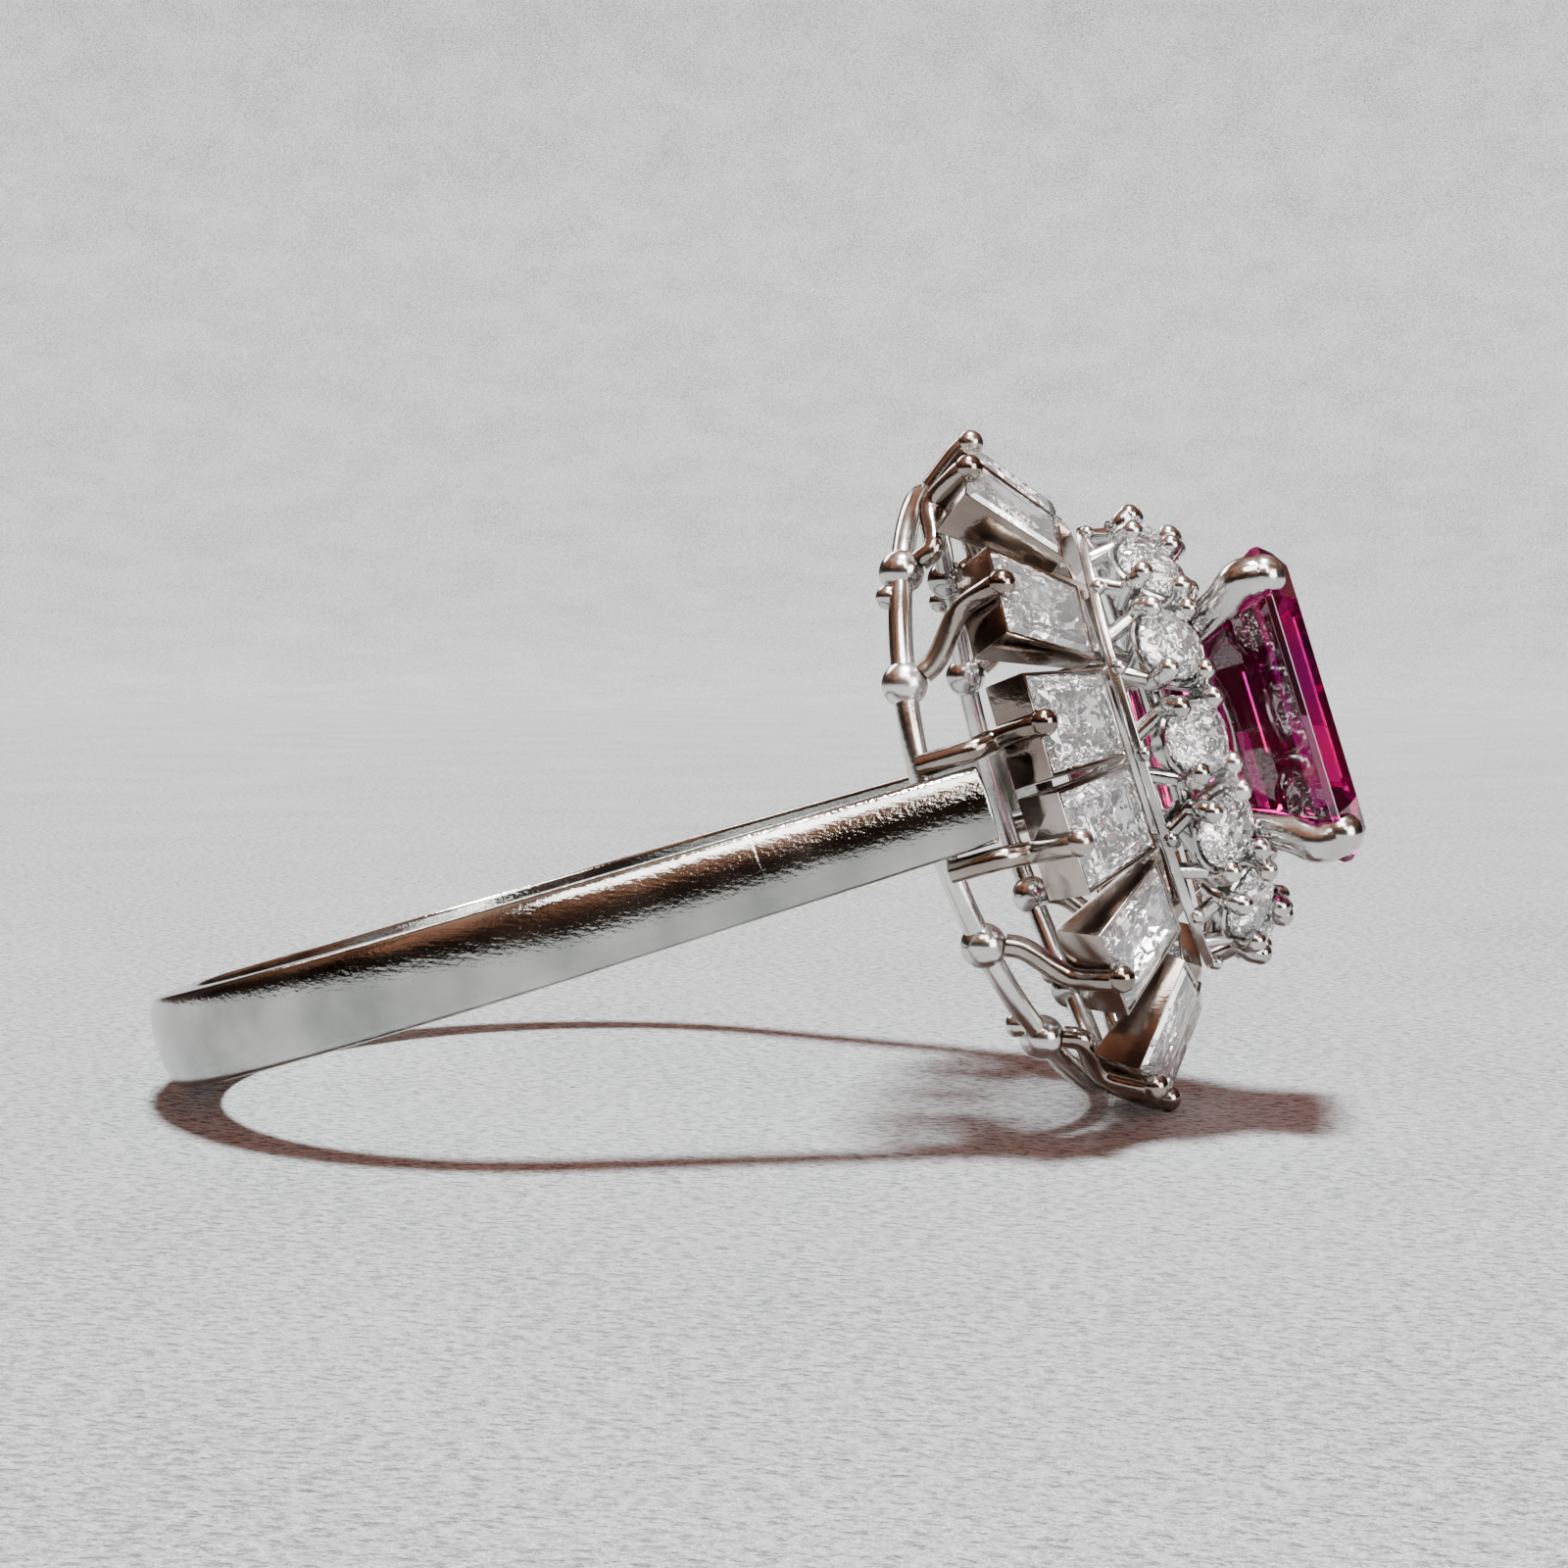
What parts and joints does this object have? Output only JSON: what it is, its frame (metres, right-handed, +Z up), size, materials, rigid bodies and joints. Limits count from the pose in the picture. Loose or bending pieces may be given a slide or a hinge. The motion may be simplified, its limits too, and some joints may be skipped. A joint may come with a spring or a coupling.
{
  "type": "cocktail ring",
  "caption": "Cocktail ring with a claw-set octagonal step-cut ruby in a raised halo of round diamonds above a flared oval skirt of tapered baguette diamonds.",
  "frame": {"origin": "centre of the bounding box at its base, with the ring lying on a table as it comes to rest: on the rim of the band's far side and on the lower claws of the head", "axes": "+X from the back of the band towards the head, +Y across the head's width, +Z up; the finger axis leans 17.4 degrees from +Z towards -X, in the XZ plane"},
  "size_m": [0.0286, 0.0204, 0.0158],
  "materials": {
    "platinum": "polished",
    "diamond": "polished facets",
    "ruby": "polished facets"
  },
  "bodies": {
    "root": {"baguette_01": "diamond", "baguette_02": "diamond", "baguette_03": "diamond", "baguette_04": "diamond", "baguette_05": "diamond", "baguette_06": "diamond", "baguette_07": "diamond", "baguette_08": "diamond", "baguette_09": "diamond", "baguette_10": "diamond", "baguette_11": "diamond", "baguette_12": "diamond", "baguette_13": "diamond", "baguette_14": "diamond", "collet_01": "platinum", "collet_02": "platinum", "collet_03": "platinum", "collet_04": "platinum", "collet_05": "platinum", "collet_06": "platinum", "collet_07": "platinum", "collet_08": "platinum", "collet_09": "platinum", "collet_10": "platinum", "collet_11": "platinum", "collet_12": "platinum", "collet_13": "platinum", "collet_14": "platinum", "gallery_rail": "platinum", "halo_cup_01": "platinum", "halo_cup_02": "platinum", "halo_cup_03": "platinum", "halo_cup_04": "platinum", "halo_cup_05": "platinum", "halo_cup_06": "platinum", "halo_cup_07": "platinum", "halo_cup_08": "platinum", "halo_cup_09": "platinum", "halo_cup_10": "platinum", "halo_cup_11": "platinum", "halo_cup_12": "platinum", "halo_diamond_01": "diamond", "halo_diamond_02": "diamond", "halo_diamond_03": "diamond", "halo_diamond_04": "diamond", "halo_diamond_05": "diamond", "halo_diamond_06": "diamond", "halo_diamond_07": "diamond", "halo_diamond_08": "diamond", "halo_diamond_09": "diamond", "halo_diamond_10": "diamond", "halo_diamond_11": "diamond", "halo_diamond_12": "diamond", "halo_rail": "platinum", "inner_rail": "platinum", "ruby": "ruby", "ruby_setting": "platinum", "shank": "platinum"}
  },
  "joints": []
}
